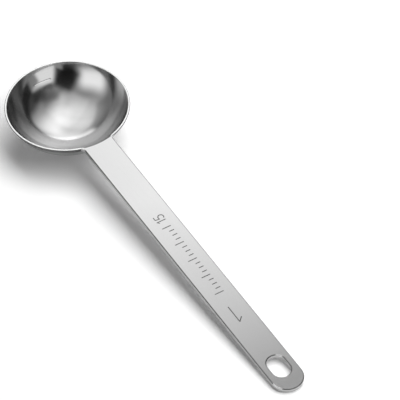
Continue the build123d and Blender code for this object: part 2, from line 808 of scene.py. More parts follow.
@dataclass(frozen=True)
class SatinSteel:
    """Stainless steel with a satin polish.

    Attributes:
        name: The material's name.
        tone: Its reflectance where the polish is even.
        worn_tone: Its reflectance in the dull flecks.
        roughness: Its middle roughness.
        roughness_swing: How far the roughness wanders from place to place.
        grain: Which way the polish ran.
        stretch: How long the grain is against its width.
        round_radius: Radius at which grain round the bowl's axis has that length.
        grain_scale: Grains per metre across the polish.
        grain_detail: How many finer layers the grain has.
        grain_height: How high the grain stands.
        cloud_scale: Scale of the soft clouds in the roughness.
        fleck_size: How large a fleck is against a grain.
        fleck_span: Levels of the flecks' noise at which they start and are full.
        soft_detail: How many finer layers the clouds and the flecks have.
        metallic: How much of it mirrors; the rest scatters light like a matt surface, which lets the key
            lamp light the painted highlight nearly white.
    """

    name: str
    tone: float = 0.67
    worn_tone: float = 0.66
    roughness: float = 0.12
    roughness_swing: float = 0.03
    grain: Grain = Grain.ALONG
    stretch: float = 24.0
    round_radius: float = 20 * MM
    grain_scale: float = 9000.0
    grain_detail: float = 3.0
    grain_height: float = 0.0004 * MM
    cloud_scale: float = 210.0
    fleck_size: float = 3.0
    fleck_span: tuple[float, float] = (0.42, 0.72)
    soft_detail: float = 2.0
    metallic: float = 1.0

    def grain_place(self, sketch: Sketch, place: Wire) -> Wire:
        """Coordinates in which the grain is even.

        Args:
            sketch: The shader being drawn.
            place: The surface's place.

        Returns:
            The place, drawn out along the polish.
        """
        if self.grain is Grain.ALONG:
            return sketch.vector("MULTIPLY", place, (1 / self.stretch, 1, 1))
        across = sketch.vector("MULTIPLY", place, (1, 1, 0))
        radius = sketch.vector("LENGTH", across, None, 1)
        height = sketch.add("ShaderNodeSeparateXYZ", {}, {0: place}, "Z")
        way = {0: sketch.vector("NORMALIZE", across), "Scale": self.round_radius / self.stretch}
        along = sketch.add("ShaderNodeVectorMath", {"operation": "SCALE"}, way)
        return sketch.vector("ADD", along, sketch.add("ShaderNodeCombineXYZ", {}, {2: radius + height}))

    def make(self) -> bpy.types.Material:
        """Makes the material.

        Returns:
            The material.
        """
        material, sketch = start_material(self.name)
        place = sketch.add("ShaderNodeTexCoord", output="Object")
        drawn = self.grain_place(sketch, place)
        grain = sketch.noise(drawn, self.grain_scale, self.grain_detail)
        cloud = sketch.noise(place, self.cloud_scale, self.soft_detail)
        flecks = sketch.noise(drawn, self.grain_scale / self.fleck_size, self.soft_detail)
        tone = sketch.blend(flecks.step(*self.fleck_span), grey(self.tone), grey(self.worn_tone))
        wander = (cloud - 0.5) * self.roughness_swing + (grain - 0.5) * self.roughness_swing
        height = {"Height": grain, "Distance": self.grain_height, "Strength": 1.0}
        inputs = {
            "Base Color": tone,
            "Roughness": self.roughness + wander,
            "Metallic": self.metallic,
            "Normal": sketch.add("ShaderNodeBump", {}, height),
        }
        sketch.surface(sketch.add("ShaderNodeBsdfPrincipled", {}, inputs))
        return material


# Pieces


@dataclass
class BowlPiece:
    """Drawn spherical bowl with its rounded lip, its foot, its notch and its half-fill marks.

    Attributes:
        sections: The shared sections.
        finish: The bowl's finish.
        bright: The painted highlight on its lip's top and on its half-fill marks' lower slopes.
        edge: A darker copy of the steel on its lip's outer rounding, the wall below it and the half-fill
            marks' upper slopes: painted shade.
        outside: A darker, rougher copy of the steel on the rest of its outside: painted shade.
        bright_steps: Steps of the lip's outer rounding that still have the painted highlight.
        around: Steps round the lip, from one side of the handle to the other.
        across_notch: Steps round the notch.
        inside_steps: Steps up the inside to the half-fill marks, and from there to the notch.
        outside_steps: Steps down the outside, from the notch to the foot.
        mark_height: Height of the half-fill marks.
        mark_length: Their length.
        mark_width: Their width.
        mark_depth: Their depth.
        mark_sides: Places across a mark, as shares of its width from the middle.
        mark_depths: Depth at each of those places, as a share of the full depth.
    """

    sections: Sections
    finish: SatinSteel
    bright: SatinSteel
    edge: SatinSteel
    outside: SatinSteel
    bright_steps: int = 2
    around: int = 336
    across_notch: int = 36
    inside_steps: tuple[int, int] = (34, 10)
    outside_steps: int = 40
    mark_height: float = 11.21 * MM
    mark_length: float = 7.2 * MM
    mark_width: float = 0.35 * MM
    mark_depth: float = 0.12 * MM
    mark_sides: tuple[float, ...] = (-0.5, -0.3, 0.0, 0.3, 0.5)
    mark_depths: tuple[float, ...] = (0.0, 0.75, 1.0, 0.75, 0.0)

    def lip_angles(self) -> list[float]:
        """Angles of the columns that reach the lip."""
        seam = self.sections.sizes.seam_angle
        return self.with_mark_ends(spread(seam, 2 * math.pi - seam, self.around), math.pi)

    def notch_angles(self) -> list[float]:
        """Angles of the columns under the handle, between its two sides."""
        seam = self.sections.sizes.seam_angle
        return self.with_mark_ends(spread(-seam, seam, self.across_notch), 0.0)[1:-1]

    @property
    def mark_half_angle(self) -> float:
        """Half of the angle that a half-fill mark spans."""
        sizes = self.sections.sizes
        return self.mark_length / 2 / sizes.radius_at(sizes.inner_sphere, self.mark_height)

    @property
    def mark_run_out(self) -> float:
        """Angle over which a half-fill mark runs out at each end."""
        return self.mark_half_angle * self.mark_width / self.mark_length

    def with_mark_ends(self, angles: list[float], middle: float) -> list[float]:
        """Angles, with columns added where a half-fill mark starts and ends.

        Args:
            angles: The columns' angles.
            middle: The mark's middle.

        Returns:
            All angles, in order.
        """
        half = self.mark_half_angle
        inner = half - self.mark_run_out
        ends = [middle + end for end in (-half, -inner, inner, half)]
        clear = self.mark_run_out / 2
        kept = [angle for angle in angles if all(abs(angle - end) > clear for end in ends)]
        return sorted(kept + ends)

    def mark_share(self, angle: float) -> float:
        """Share of a half-fill mark's depth that a column has."""
        away = min(abs(angle), abs(angle - math.pi))
        return min(max((self.mark_half_angle - away) / self.mark_run_out, 0.0), 1.0)

    def inside(self) -> list[tuple[float, float]]:
        """Places the rows of the inside below the notch, from the bottom up.

        Returns:
            Each row's angle from straight down, and the half-fill marks' share of depth there.
        """
        sizes = self.sections.sizes
        mark = sizes.angle_at(sizes.inner_sphere, self.mark_height)
        reach = self.mark_width / sizes.inner_sphere
        top = sizes.angle_at(sizes.inner_sphere, sizes.underside)
        below, above = self.inside_steps
        rows = [(angle, 0.0) for angle in spread(0, mark - reach, below)[1:]]
        rows += [(mark + side * reach, depth) for side, depth in zip(self.mark_sides, self.mark_depths)]
        rows += [(angle, 0.0) for angle in spread(mark + reach, top, above)]
        return rows

    def join_inside(self, skin: Skin, rows: Sequence[Row], angles: Sequence[float]) -> None:
        """Joins the rows of the inside, with a painted highlight on each half-fill mark's lower slope and
        painted shade on its upper slope.

        Args:
            skin: The mesh that they go into.
            rows: The rows, from the bottom up.
            angles: The columns' angles.
        """
        dents = [depth for _, depth in self.inside()]
        deepest = dents.index(max(dents))
        for index, (first, second) in enumerate(zip(rows, rows[1:])):
            # Painted light on the half-fill marks: the lower slope gets the bright copy of the steel, the
            # upper slope the dark one.
            slope = Coat.MARK if index < deepest else Coat.EDGE
            for column in range(len(angles)):
                after = (column + 1) % len(angles)
                dented = max(dents[index], dents[index + 1]) > 0
                marked = self.mark_share(angles[column]) > 0 or self.mark_share(angles[after]) > 0
                skin.coat = slope if dented and marked else Coat.MAIN
                skin.face([first[column], first[after], second[after], second[column]])
        skin.coat = Coat.MAIN

    def build(self) -> bpy.types.Object:
        """Builds the bowl's mesh.

        Returns:
            The bowl, not yet dressed.
        """
        sizes = self.sections.sizes
        skin = Skin()
        lip_angles = self.lip_angles()
        notch_angles = self.notch_angles()
        angles = lip_angles + notch_angles

        def ring(radius: float, height: float, columns: Sequence[float]) -> list[Vert]:
            """Row of points at a radius and a height."""
            return skin.row([(radius * math.cos(a), radius * math.sin(a), height) for a in columns])

        inner_rows = []
        for angle, dent in self.inside():
            points = []
            for column in angles:
                sphere = sizes.inner_sphere + dent * self.mark_depth * self.mark_share(column)
                radius, height = sizes.on_sphere(sphere, angle)
                points.append((radius * math.cos(column), radius * math.sin(column), height))
            inner_rows.append(skin.row(points))
        outer_top = sizes.angle_at(sizes.outer_sphere, sizes.underside)
        outer_bottom = math.asin(sizes.foot_radius / sizes.outer_sphere)
        outer_rows = [
            ring(*sizes.on_sphere(sizes.outer_sphere, angle), angles)
            for angle in spread(outer_top, outer_bottom, self.outside_steps)
        ]
        self.join_inside(skin, inner_rows, angles)
        skin.fan(inner_rows[0], (0.0, 0.0, sizes.centre - sizes.inner_sphere))
        # Painted shade: the outside gets a darker copy of the steel.
        skin.coat = Coat.WALL
        skin.grid(outer_rows, closed=True)
        skin.fan(outer_rows[-1], (0.0, 0.0, 0.0))

        count = len(lip_angles)
        edge = self.sections.inner_edge(sizes.edge_round) + self.sections.lip_outside()
        lip_rows = [inner_rows[-1][:count]]
        lip_rows += [ring(radius, height, lip_angles) for radius, height in edge[1:-1]]
        lip_rows.append(outer_rows[0][:count])
        flat = len(self.sections.inner_edge(sizes.edge_round))
        rounded = self.sections.round_steps
        # Painted light on the lip: a highlight over its top, and shade on its outer rounding and the wall
        # below.
        bands = {
            Coat.MAIN: (0, flat - rounded - 1),
            Coat.MARK: (flat - rounded - 1, flat + self.bright_steps),
            Coat.EDGE: (flat + self.bright_steps, len(lip_rows) - 1),
        }
        for coat, (start, end) in bands.items():
            skin.coat = coat
            skin.grid(lip_rows[start : end + 1])
        skin.coat = Coat.MAIN
        for end in (0, -1):
            skin.face([row[end] for row in lip_rows])
        notch = [count - 1, *range(count, len(angles)), 0]
        skin.join([inner_rows[-1][i] for i in notch], [outer_rows[0][i] for i in notch])
        return skin.finish("bowl_shell")

    def make(self) -> bpy.types.Object:
        """Makes the bowl.

        Returns:
            The bowl, dressed and riding on the spoon's body.
        """
        piece = self.build()
        for finish in (self.finish, self.bright, self.edge, self.outside):
            piece.data.materials.append(finish.make())
        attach(piece, Body.SPOON.value)
        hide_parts("bowl")
        return piece


@dataclass
class HandlePiece:
    """Strip handle with rounded edges, a round tail, a hanging slot, and plain numerals and lines on top.

    Attributes:
        sections: The shared sections.
        finish: The handle's finish.
        etching: The finish of the engraved strokes.
        edge: A darker copy of the steel on the rounded edges: a painted shade line.
        wall: A darker copy of the steel on the sheared sides, the slot's wall and the underside: painted
            shade.
        bright: The painted highlight on two short stretches of edge.
        tail_glint_span: First and last angle of one painted highlight, about the middle of the round tail.
        slot_glint_span: First and last angle of the other one, about the middle of the slot's nearer end.
        front_steps: Steps across the front edge, inside the bowl.
        side_steps: Steps along each straight side.
        tail_steps: Steps round the tail.
        slot_steps: Steps round each end of the slot.
        slot_length: Length of the slot.
        slot_width: Width of the slot.
        stroke_width: Width of the engraved strokes.
        stroke_depth: Their depth.
        small_height: Height of the small numerals and of the long lines.
        large_height: Height of the large numeral.
        number_place: Distance from the bowl's axis at which the small numerals start.
        first_line: Distance from the bowl's axis of the first fine line.
        line_pitch: Distance between fine lines.
        line_count: How many fine lines there are.
        long_every: How often a long line comes.
        short_share: Height of a short line, as a share of a long one's.
        large_place: Distance from the bowl's axis of the large numeral's foot.
        one_shares: Points of a 1, as shares of its height across and up, as all below.
        five_top_shares: Points of a 5, from its top bar down to its belly.
        five_middle_share: Middle of its belly.
        five_radius_share: Radius of its belly.
        five_angles: First and last angle of its belly.
        five_steps: Steps of its belly.
        one_width_share: Width of a 1.
        gap_share: Gap between numerals.
    """

    sections: Sections
    finish: SatinSteel
    etching: SatinSteel
    edge: SatinSteel
    wall: SatinSteel
    bright: SatinSteel
    tail_glint_span: tuple[float, float] = (math.radians(-88), math.radians(-48))
    slot_glint_span: tuple[float, float] = (math.radians(115), math.radians(150))
    front_steps: int = 18
    side_steps: int = 26
    tail_steps: int = 56
    slot_steps: int = 32
    slot_length: float = 10.3 * MM
    slot_width: float = 7.1 * MM
    stroke_width: float = 0.4 * MM
    stroke_depth: float = 0.12 * MM
    small_height: float = 3.6 * MM
    large_height: float = 8.0 * MM
    number_place: float = 70.43 * MM
    first_line: float = 73.33 * MM
    line_pitch: float = 2.3 * MM
    line_count: int = 17
    long_every: int = 4
    short_share: float = 0.55
    large_place: float = 117.49 * MM
    one_shares: tuple[Point2, ...] = ((0.0, 0.78), (0.22, 1.0), (0.22, 0.0))
    five_top_shares: tuple[Point2, ...] = ((0.50, 1.0), (0.10, 1.0), (0.04, 0.52))
    five_middle_share: Point2 = (0.22, 0.27)
    five_radius_share: float = 0.305
    five_angles: tuple[float, float] = (math.radians(112), math.radians(-136))
    five_steps: int = 16
    one_width_share: float = 0.22
    gap_share: float = 0.26

    def outline(self) -> list[list[Point3]]:
        """Places the sections all round the strip.

        Returns:
            The sections, each from the flat top over the edge to the flat underside.
        """
        sizes = self.sections.sizes
        edge = self.sections.strip_edge()
        front = self.sections.inner_edge(sizes.front_round)[::-1]
        levels = len(edge)
        neck = sizes.neck_half
        found = []
        for share in spread(-1, 1, self.front_steps):
            column = []
            for radius, height in front:
                angle = share * math.asin(neck / radius)
                column.append((radius * math.cos(angle), radius * math.sin(angle), height))
            found.append(column)
        joint = sizes.fillet_middle[0]
        heights = spread(sizes.rim, sizes.underside, levels - 1)
        found.append([(joint, neck, height) for height in heights])
        tail = sizes.tail_end - sizes.half_width
        side = [(sizes.half_width - inset, height) for inset, height in edge]
        for place in spread(joint, tail, self.side_steps):
            found.append([(place, away, height) for away, height in side])
        found += turned(tail, side, spread(math.pi / 2, -math.pi / 2, self.tail_steps)[1:-1])
        for place in spread(tail, joint, self.side_steps):
            found.append([(place, -away, height) for away, height in side])
        found.append([(joint, -neck, height) for height in heights])
        return found

    def slot_outline(self) -> list[list[Point3]]:
        """Places the sections all round the slot.

        Returns:
            The sections, each from the flat top down its wall to the flat underside.
        """
        middle = self.sections.sizes.slot_place
        wall = [(self.slot_width / 2 + inset, height) for inset, height in self.sections.strip_edge()]
        reach = (self.slot_length - self.slot_width) / 2
        half_turn = spread(-math.pi / 2, math.pi / 2, self.slot_steps)
        far_end = turned(middle + reach, wall, half_turn)
        return far_end + turned(middle - reach, wall, [math.pi + angle for angle in half_turn])

    def stroke(
        self,
        shares: Sequence[Point2],
        height: float,
        origin: Point2,
        along: Point2,
        up: Point2,
    ) -> Groove:
        """One stroke of a numeral.

        Args:
            shares: Its points, as shares of the numeral's height, across and up.
            height: The numeral's height.
            origin: Where the numeral's foot starts.
            along: The direction in which it reads.
            up: The direction of its top.

        Returns:
            The groove.
        """
        path = []
        for across, rise in shares:
            x = origin[0] + height * (across * along[0] + rise * up[0])
            y = origin[1] + height * (across * along[1] + rise * up[1])
            path.append((x, y))
        return Groove(tuple(path), self.stroke_width, self.stroke_depth)

    def five_shares(self) -> list[Point2]:
        """Points of the numeral 5's only stroke, from its top bar to the end of its belly."""
        belly = rounding(self.five_middle_share, self.five_radius_share, *self.five_angles, self.five_steps)
        return [*self.five_top_shares, *belly]

    def grooves(self) -> list[Groove]:
        """Lays out the engraving: 15 in small numerals, a row of fine lines and one large numeral.

        Returns:
            All its strokes.
        """
        small = self.small_height
        foot = small / 2
        towards_bowl = (-1.0, 0.0)
        down = (0.0, -1.0)
        shift = (self.one_width_share + self.gap_share) * small
        second = (self.number_place - shift, foot)
        large_foot = (self.large_place, self.one_width_share * self.large_height / 2)
        found = [
            self.stroke(self.one_shares, small, (self.number_place, foot), towards_bowl, down),
            self.stroke(self.five_shares(), small, second, towards_bowl, down),
            self.stroke(self.one_shares, self.large_height, large_foot, (0.0, -1.0), (1.0, 0.0)),
        ]
        for index in range(self.line_count):
            height = small if index % self.long_every == 0 else self.short_share * small
            x = self.first_line + index * self.line_pitch
            path = ((x, foot), (x, foot - height))
            found.append(Groove(path, self.stroke_width, self.stroke_depth))
        return found

    def paint_end_glints(self, skin: Skin) -> None:
        """Paints a highlight on a short stretch of the rounded edge at the tail, and on one at the slot,
        with the bright copy of the steel.

        Args:
            skin: The handle's mesh.
        """
        sizes = self.sections.sizes
        tail = sizes.tail_end - sizes.half_width
        slot_end = sizes.slot_place - (self.slot_length - self.slot_width) / 2
        slot_side = self.slot_width / 2 + sizes.edge_round
        for face in skin.mesh.faces:
            if face.material_index != Coat.EDGE.value:
                continue
            middle = face.calc_center_median()
            in_slot = middle.x < slot_end and abs(middle.y) < slot_side
            place, glint_span = (slot_end, self.slot_glint_span) if in_slot else (tail, self.tail_glint_span)
            if glint_span[0] < math.atan2(middle.y, middle.x - place) < glint_span[1]:
                # Painted highlight on this stretch of edge.
                face.material_index = Coat.SHINE.value

    def build(self) -> bpy.types.Object:
        """Builds the handle's mesh.

        Returns:
            The handle, not yet dressed.
        """
        sizes = self.sections.sizes
        skin = Skin()
        loops: dict[str, list[list[Vert]]] = {"top": [], "underside": []}
        for columns in (self.outline(), self.slot_outline()):
            levels = [skin.row([column[level] for column in columns]) for level in range(len(columns[0]))]
            rounded = self.sections.round_steps + 1
            # Painted shade: the rounded edges get a darker copy of the steel, and the walls below them
            # another one.
            skin.coat = Coat.EDGE
            skin.grid(levels[:rounded], closed=True)
            skin.coat = Coat.WALL
            skin.grid(levels[rounded - 1 :], closed=True)
            skin.coat = Coat.MAIN
            loops["top"].append(levels[0])
            loops["underside"].append(levels[-1])
        self.paint_end_glints(skin)
        loops["top"] += [groove.cut(skin, sizes.rim) for groove in self.grooves()]
        for side, (outline, *holes) in loops.items():
            # The underside gets the darker copy of the steel too: painted shade.
            skin.coat = Coat.MAIN if side == "top" else Coat.WALL
            skin.fill(outline, holes)
        skin.weld()
        return skin.finish("handle_strip")

    def make(self) -> bpy.types.Object:
        """Makes the handle.

        Returns:
            The handle, dressed and riding on the spoon's body.
        """
        piece = self.build()
        for finish in (self.finish, self.etching, self.edge, self.wall, self.bright):
            piece.data.materials.append(finish.make())
        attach(piece, Body.SPOON.value)
        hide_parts("handle")
        return piece


@dataclass
class WeldPiece:
    """Weld metal at the neck: a fillet at each side of the handle, ground flush above, and a bead below.

    Attributes:
        sections: The shared sections.
        finish: The weld's finish.
        bright: The painted highlight on its fillets' outer walls.
        turn_steps: Steps round each fillet.
        bead_leg: Length of the bead's legs on the handle and on the bowl.
        bead_hollow: How hollow the bead's face is, as a share of the way to its corner.
        bead_sink: How far the bead's back lies inside the bowl's wall and the handle.
        bead_steps: Steps along the bead.
        face_steps: Steps across the bead's face.
        ripple_pitch: Distance between the ripples of the weld.
        ripple_share: Their height, as a share of the bead's size.
        end_share: Size of the bead at its two ends, as a share of the full one.
    """

    sections: Sections
    finish: SatinSteel
    bright: SatinSteel
    turn_steps: int = 14
    bead_leg: float = 1.4 * MM
    bead_hollow: float = 0.35
    bead_sink: float = 0.2 * MM
    bead_steps: int = 132
    face_steps: int = 8
    ripple_pitch: float = 0.8 * MM
    ripple_share: float = 0.035
    end_share: float = 0.3

    def fillet(self, skin: Skin) -> None:
        """Adds the fillet on the +Y side.

        Args:
            skin: The mesh that it goes into.
        """
        sizes = self.sections.sizes
        lip_inside = self.sections.inner_edge(sizes.edge_round)
        front = self.sections.inner_edge(sizes.front_round)
        lip_outside = [(sizes.lip_reach - radius, height) for radius, height in self.sections.lip_outside()]
        side = self.sections.side_outside()
        middle = Vector(sizes.fillet_middle)
        start = sizes.seam_angle + math.pi
        end = 3 * math.pi / 2
        rows = []
        for share in spread(0, 1, self.turn_steps):
            ease = eased(share)
            points = []
            for (lip_radius, lip_height), (radius, height) in zip(lip_inside, front):
                away = between(lip_radius, radius, ease)
                angle = between(sizes.seam_angle, math.asin(sizes.neck_half / away), share)
                level = between(lip_height, height, ease)
                points.append((away * math.cos(angle), away * math.sin(angle), level))
            facing = between(start, end, share)
            toward = Vector((math.cos(facing), math.sin(facing)))
            for (lip_inset, lip_height), (inset, height) in zip(lip_outside, side):
                place = middle + toward * (sizes.weld_corner + between(lip_inset, inset, ease))
                points.append((place.x, place.y, between(lip_height, height, ease)))
            rows.append(skin.row(points))
        over = len(front) + self.sections.round_steps
        skin.grid([row[: over + 1] for row in rows])
        # Painted highlight: the fillets' outer walls get the bright copy of the steel.
        skin.coat = Coat.MARK
        skin.grid([row[over:] for row in rows])
        skin.coat = Coat.MAIN
        skin.face(rows[0])
        skin.join([row[0] for row in rows], [row[-1] for row in rows])
        inside = rows[-1][: len(front)]
        outside = rows[-1][len(front) :]
        (foot,) = skin.row([(sizes.fillet_middle[0], sizes.neck_half, sizes.underside)])
        skin.face([*inside, outside[0], foot])
        skin.face([*outside, foot])
        skin.face([rows[-1][0], foot, outside[-1]])

    def bead_section(self, scale: float) -> list[Point2]:
        """Section of the bead.

        Args:
            scale: Its size, as a share of the full one.

        Returns:
            Points as distance from the bowl's axis and height, from the handle down to the bowl.
        """
        sizes = self.sections.sizes
        leg = self.bead_leg * scale
        corner = Vector((sizes.radius_at(sizes.outer_sphere, sizes.underside), sizes.underside))
        out = corner + Vector((leg, 0.0))
        low = sizes.underside - leg
        down = Vector((sizes.radius_at(sizes.outer_sphere, low), low))
        chord = (out + down) / 2
        control = chord + (corner - chord) * 2 * (1 - self.bead_hollow)
        face = []
        for share in spread(0, 1, self.face_steps):
            point = out.lerp(control, share).lerp(control.lerp(down, share), share)
            face.append((point.x, point.y))
        sunk_down = (down.x - self.bead_sink, down.y)
        sunk_corner = (corner.x - self.bead_sink, corner.y + self.bead_sink)
        sunk_out = (out.x, out.y + self.bead_sink)
        return [*face, sunk_down, sunk_corner, sunk_out]

    def bead(self, skin: Skin) -> None:
        """Adds the bead under the handle.

        Args:
            skin: The mesh that it goes into.
        """
        sizes = self.sections.sizes
        corner = sizes.radius_at(sizes.outer_sphere, sizes.underside)
        half = math.asin(sizes.half_width / corner)
        run_out = self.bead_leg / corner
        rows = []
        for angle in spread(-half, half, self.bead_steps):
            inside = min((half - abs(angle)) / run_out, 1.0)
            taper = between(self.end_share, 1.0, math.sqrt(max(1 - (1 - inside) ** 2, 0.0)))
            ripple = 1 - self.ripple_share * (1 - math.cos(math.tau * angle * corner / self.ripple_pitch))
            rows.append(skin.row(*turned(0.0, self.bead_section(taper * ripple), [angle])))
        skin.grid(rows, closed=True)
        skin.face(rows[0])
        skin.face(rows[-1])

    def build(self) -> bpy.types.Object:
        """Builds the weld's mesh.

        Returns:
            The weld, not yet dressed.
        """
        skin = Skin()
        self.fillet(skin)
        skin.mirrored()
        self.bead(skin)
        return skin.finish("neck_weld_metal")

    def make(self) -> bpy.types.Object:
        """Makes the weld.

        Returns:
            The weld, dressed and riding on the spoon's body.
        """
        piece = self.build()
        for finish in (self.finish, self.bright):
            piece.data.materials.append(finish.make())
        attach(piece, Body.SPOON.value)
        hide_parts("neck_weld")
        return piece


# Camera and studio


def heading(azimuth: float, elevation: float) -> Vector:
    """Direction at an azimuth from +X and an elevation, both in degrees."""
    turn, lift = math.radians(azimuth), math.radians(elevation)
    return Vector((math.cos(lift) * math.cos(turn), math.cos(lift) * math.sin(turn), math.sin(lift)))


def flat_card(name: str, size: Point2, place: Matrix) -> bpy.types.Object:
    """Makes a flat rectangle about its own middle.

    Args:
        name: Its name.
        size: Its length along X and its width along Y.
        place: Where it lies.

    Returns:
        The object, in the scene.
    """
    mesh = bmesh.new()
    half = Vector(size) / 2
    mesh.faces.new([mesh.verts.new((x * half.x, y * half.y, 0.0)) for x, y in CARD_CORNERS])
    card = to_object(mesh, name)
    card.matrix_world = place
    return card


def keep_for_metal(item: bpy.types.Object) -> None:
    """Hides an object from everything but the mirror images in metal.

    Args:
        item: The object.
    """
    item.visible_camera = False
    item.visible_diffuse = False
    item.visible_shadow = False
    item.visible_transmission = False


@dataclass(frozen=True)
class PhotoCamera:
    """Camera at the photograph's viewing angle.

    Attributes:
        target: The point that it looks at.
        distance: Its distance from there.
        azimuth: Its direction from there, from +X, in degrees.
        elevation: Its height above the rim's plane, in degrees.
        roll: How far it is turned about its own line of sight, in degrees.
        lens: Focal length.
        sensor: Sensor width.
        clip: Nearest and furthest distance that it sees.
    """

    target: Point3 = (68.54 * MM, 17.22 * MM, 16.37 * MM)
    distance: float = 1066.6 * MM
    azimuth: float = -30.099
    elevation: float = 47.884
    roll: float = -1.619
    lens: float = 261.4
    sensor: float = 36.0
    clip: tuple[float, float] = (0.01, 100.0)

    def make(self) -> None:
        """Makes the camera, as the scene's own."""
        data = bpy.data.cameras.new("photo_camera")
        data.lens = self.lens
        data.sensor_width = self.sensor
        data.clip_start, data.clip_end = self.clip
        camera = bpy.data.objects.new("photo_camera", data)
        bpy.context.scene.collection.objects.link(camera)
        back = heading(self.azimuth, self.elevation)
        right = heading(self.azimuth + QUARTER_TURN, 0)
        up = back.cross(right)
        rolled = math.radians(self.roll)
        true_right = right * math.cos(rolled) + up * math.sin(rolled)
        true_up = up * math.cos(rolled) - right * math.sin(rolled)
        axes = Matrix((true_right, true_up, back)).transposed().to_4x4()
        camera.matrix_world = Matrix.Translation(Vector(self.target) + back * self.distance) @ axes
        bpy.context.scene.camera = camera


@dataclass(frozen=True)
class Panel:
    """One soft-edged panel of the studio's dome, lit or dark, as the metal mirrors it.

    Attributes:
        azimuth: Direction of its middle from the bowl, from +X, in degrees.
        elevation: Height of its middle, in degrees.
        width: Its width, in degrees.
        height: Its height, in degrees.
        feather: Width of its soft edge, in degrees.
        level: How bright it is, or for a dark panel how much of the light it leaves.
        roll: How far it leans, in degrees.
    """

    azimuth: float
    elevation: float
    width: float
    height: float
    feather: float
    level: float
    roll: float = 0.0

    def mask(self, sketch: Sketch, way: Wire) -> Wire:
        """How much of a direction the panel covers.

        Args:
            sketch: The shader being drawn.
            way: The direction.

        Returns:
            A share from 0 to 1.
        """
        middle = heading(self.azimuth, self.elevation)
        level_right = heading(self.azimuth + QUARTER_TURN, 0)
        lean = Matrix.Rotation(math.radians(self.roll), 3, middle)
        axes = (middle, lean @ level_right, lean @ middle.cross(level_right))
        ahead, across, above = (sketch.vector("DOT_PRODUCT", way, tuple(axis), 1) for axis in axes)
        sideways = across.maths("ARCTAN2", across, ahead)
        upwards = above.maths("ARCSINE", above)
        return self.cover(sideways, self.width) * self.cover(upwards, self.height)

    def cover(self, angle: Wire, size: float) -> Wire:
        """Soft-edged share, from 1 inside a size in degrees to 0 outside."""
        half, soft = math.radians(size / 2), math.radians(self.feather / 2)
        return angle.near_zero(half - soft, half + soft)


@dataclass(frozen=True)
class Gauze(ABC):
    """A partly clear card near the spoon, which only the metal sees.

    Attributes:
        sizes: The spoon's sizes.
        name: Its name.
        strength: How much light it takes away where it is densest.
        glow: How bright it is there itself.
    """

    sizes: SpoonSizes
    name: str
    strength: float
    glow: float = 0.0

    @property
    @abstractmethod
    def size(self) -> Point2:
        """Length and width of the card."""

    @abstractmethod
    def density(self, x: Wire, y: Wire) -> Wire:
        """How dense the gauze is at a place on the card, from 0 to 1."""

    @abstractmethod
    def place(self) -> Matrix:
        """Where the card lies."""

    def make(self) -> None:
        """Makes the card."""
        card = flat_card(self.name, self.size, self.place())
        material, sketch = start_material(self.name)
        spot = sketch.add("ShaderNodeTexCoord", output="Object")
        apart = sketch.node("ShaderNodeSeparateXYZ", {}, {0: spot})
        density = self.density(Wire(sketch, apart.outputs["X"]), Wire(sketch, apart.outputs["Y"]))
        layers = {1: sketch.add("ShaderNodeBsdfTransparent"), 2: sketch.matt(0.0, grey(self.glow))}
        sketch.surface(sketch.add("ShaderNodeMixShader", {}, {0: density * self.strength, **layers}))
        material.cycles.emission_sampling = "NONE"
        card.data.materials.append(material)
        keep_for_metal(card)


@dataclass(frozen=True)
class GradedFlag(Gauze):
    """Flag that dims what the handle's top mirrors, more and more towards the tail.

    Attributes:
        name: Its name.
        strength: How much light it takes away where it is densest.
        span: Stretch of the handle, from the bowl's axis, whose mirror image it covers.
        width: Its width.
        core_share: Share of its width that is evenly dense, before its soft edges.
        way: Its direction from the handle, where the camera's mirror image lies.
        distance: Its distance from the handle.
    """

    name: str = "graded_flag"
    strength: float = 0.78
    span: tuple[float, float] = (57 * MM, 175 * MM)
    width: float = 70 * MM
    core_share: float = 0.4
    way: Point3 = (-0.58, 0.336, 0.742)
    distance: float = 100 * MM

    @property
    def size(self) -> Point2:
        """Length and width of the flag."""
        return (self.span[1] - self.span[0], self.width)

    def density(self, x: Wire, y: Wire) -> Wire:
        """Density that grows along X, with soft edges along Y."""
        half = self.width / 2
        return (x / self.size[0] + 0.5) * y.near_zero(half * self.core_share, half)

    def place(self) -> Matrix:
        """The flag's place over the middle of its stretch of the handle."""
        middle = Vector((sum(self.span) / 2, 0.0, self.sizes.rim))
        return Matrix.Translation(middle + Vector(self.way) * self.distance)


@dataclass(frozen=True)
class FloorSkirt(Gauze):
    """Gauze just over the floor, away from the spoon, which keeps the pale floor out of its rounded edges.

    Attributes:
        name: Its name.
        strength: How much light it takes away where it is densest.
        side: Side of the square card.
        gap: Its height over the floor.
        hole: Radius of its hole round the bowl.
        narrowing: How fast the hole narrows along the handle.
        feather: Width of the hole's soft edge.
    """

    name: str = "floor_skirt"
    strength: float = 0.75
    side: float = 0.7
    gap: float = 0.5 * MM
    hole: float = 40 * MM
    narrowing: float = 0.2
    feather: float = 16 * MM

    @property
    def size(self) -> Point2:
        """Length and width of the skirt."""
        return (self.side, self.side)

    def density(self, x: Wire, y: Wire) -> Wire:
        """Density that is 0 round the bowl and the handle.

        Args:
            x: Place along the card.
            y: Place across it.

        Returns:
            A share from 0 to 1.
        """
        behind = x.smaller(0.0)
        away = (behind * behind + y * y).root() + x.larger(0.0) * self.narrowing
        return away.step(self.hole, self.hole + self.feather)

    def place(self) -> Matrix:
        """The skirt's place over the tilted floor."""
        return self.sizes.floor_place @ Matrix.Translation((0.0, 0.0, self.gap))


